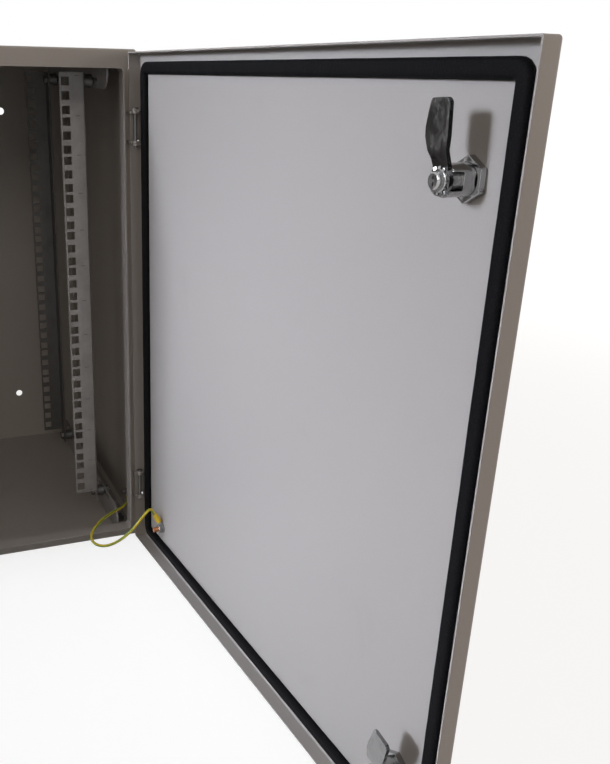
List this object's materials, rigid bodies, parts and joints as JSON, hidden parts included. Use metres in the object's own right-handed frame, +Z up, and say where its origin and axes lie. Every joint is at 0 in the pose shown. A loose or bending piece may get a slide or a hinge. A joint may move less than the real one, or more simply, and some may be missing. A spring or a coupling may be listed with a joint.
{
  "type": "utility cabinet",
  "caption": "Wall-hung sheet-steel cabinet for rack equipment: hinged gasketed door, quarter-turn cam locks, punched rack rails on depth bars and an earth wire to the door.",
  "frame": {"origin": "centre of the body's bottom face, under the middle of its width and depth", "axes": "+Z up, the front with the door faces -Y, the door is hinged on +X"},
  "size_m": [0.6564, 0.9917, 0.605],
  "materials": {
    "powder_coat": "fine textured light grey powder coat",
    "zinc_plate": "bright zinc plate",
    "rail_steel": "galvanised sheet",
    "chrome_zinc": "polished chrome on zinc casting",
    "foam": "matt black foam",
    "seal": "matt black rubber",
    "copper": "bare copper",
    "tinned": "tin plate",
    "yellow_sleeve": "moulded sleeve",
    "wire": "yellow sheath with a green stripe"
  },
  "bodies": {
    "cabinet": {"body_crimp_sleeve": "yellow_sleeve", "body_earth_nut": "zinc_plate", "body_earth_stud": "zinc_plate", "body_earth_washer": "zinc_plate", "body_ring_terminal": "tinned", "cabinet_shell": "powder_coat", "depth_bar_nuts": "zinc_plate", "depth_bar_studs": "zinc_plate", "earth_wire": "wire", "front_rail_left": "rail_steel", "front_rail_right": "rail_steel", "hinge_lug_lower": "powder_coat", "hinge_lug_upper": "powder_coat", "lower_depth_bar_left": "rail_steel", "lower_depth_bar_right": "rail_steel", "rail_bolts": "zinc_plate", "rail_nuts": "zinc_plate", "rail_spacers": "zinc_plate", "rear_rail_left": "rail_steel", "rear_rail_right": "rail_steel", "upper_depth_bar_left": "rail_steel", "upper_depth_bar_right": "rail_steel"},
    "door": {"door_crimp_sleeve": "yellow_sleeve", "door_earth_nut": "zinc_plate", "door_earth_stud": "copper", "door_earth_washer": "zinc_plate", "door_gasket": "foam", "door_panel": "powder_coat", "door_ring_terminal": "tinned", "hinge_bracket_lower": "powder_coat", "hinge_bracket_upper": "powder_coat", "hinge_pin_lower": "zinc_plate", "hinge_pin_upper": "zinc_plate", "lock_housing_lower": "chrome_zinc", "lock_housing_upper": "chrome_zinc", "lock_nut_lower": "chrome_zinc", "lock_nut_upper": "chrome_zinc", "lock_seal_lower": "seal", "lock_seal_upper": "seal"},
    "upper_lock": {"cam_screw_upper": "chrome_zinc", "cam_washer_upper": "chrome_zinc", "lock_cam_upper": "chrome_zinc", "lock_spindle_upper": "chrome_zinc"},
    "lower_lock": {"cam_screw_lower": "chrome_zinc", "cam_washer_lower": "chrome_zinc", "lock_cam_lower": "chrome_zinc", "lock_spindle_lower": "chrome_zinc"}
  },
  "joints": [
    {"name": "door_hinge", "type": "hinge", "parent": "cabinet", "child": "door", "pos_m": [0.2935, -0.2075, 0.3025], "axis": [0, 0, 1], "range_deg": [-95, 25], "deforming": ["earth_wire"]},
    {"name": "upper_lock_turn", "type": "hinge", "parent": "door", "child": "upper_lock", "pos_m": [0.34879, -0.74422, 0.524], "axis": [0.9962, 0.0872, 0], "range_deg": [0, 94]},
    {"name": "lower_lock_turn", "type": "hinge", "parent": "door", "child": "lower_lock", "pos_m": [0.34879, -0.74422, 0.074], "axis": [0.9962, 0.0872, 0], "range_deg": [0, 79]}
  ]
}
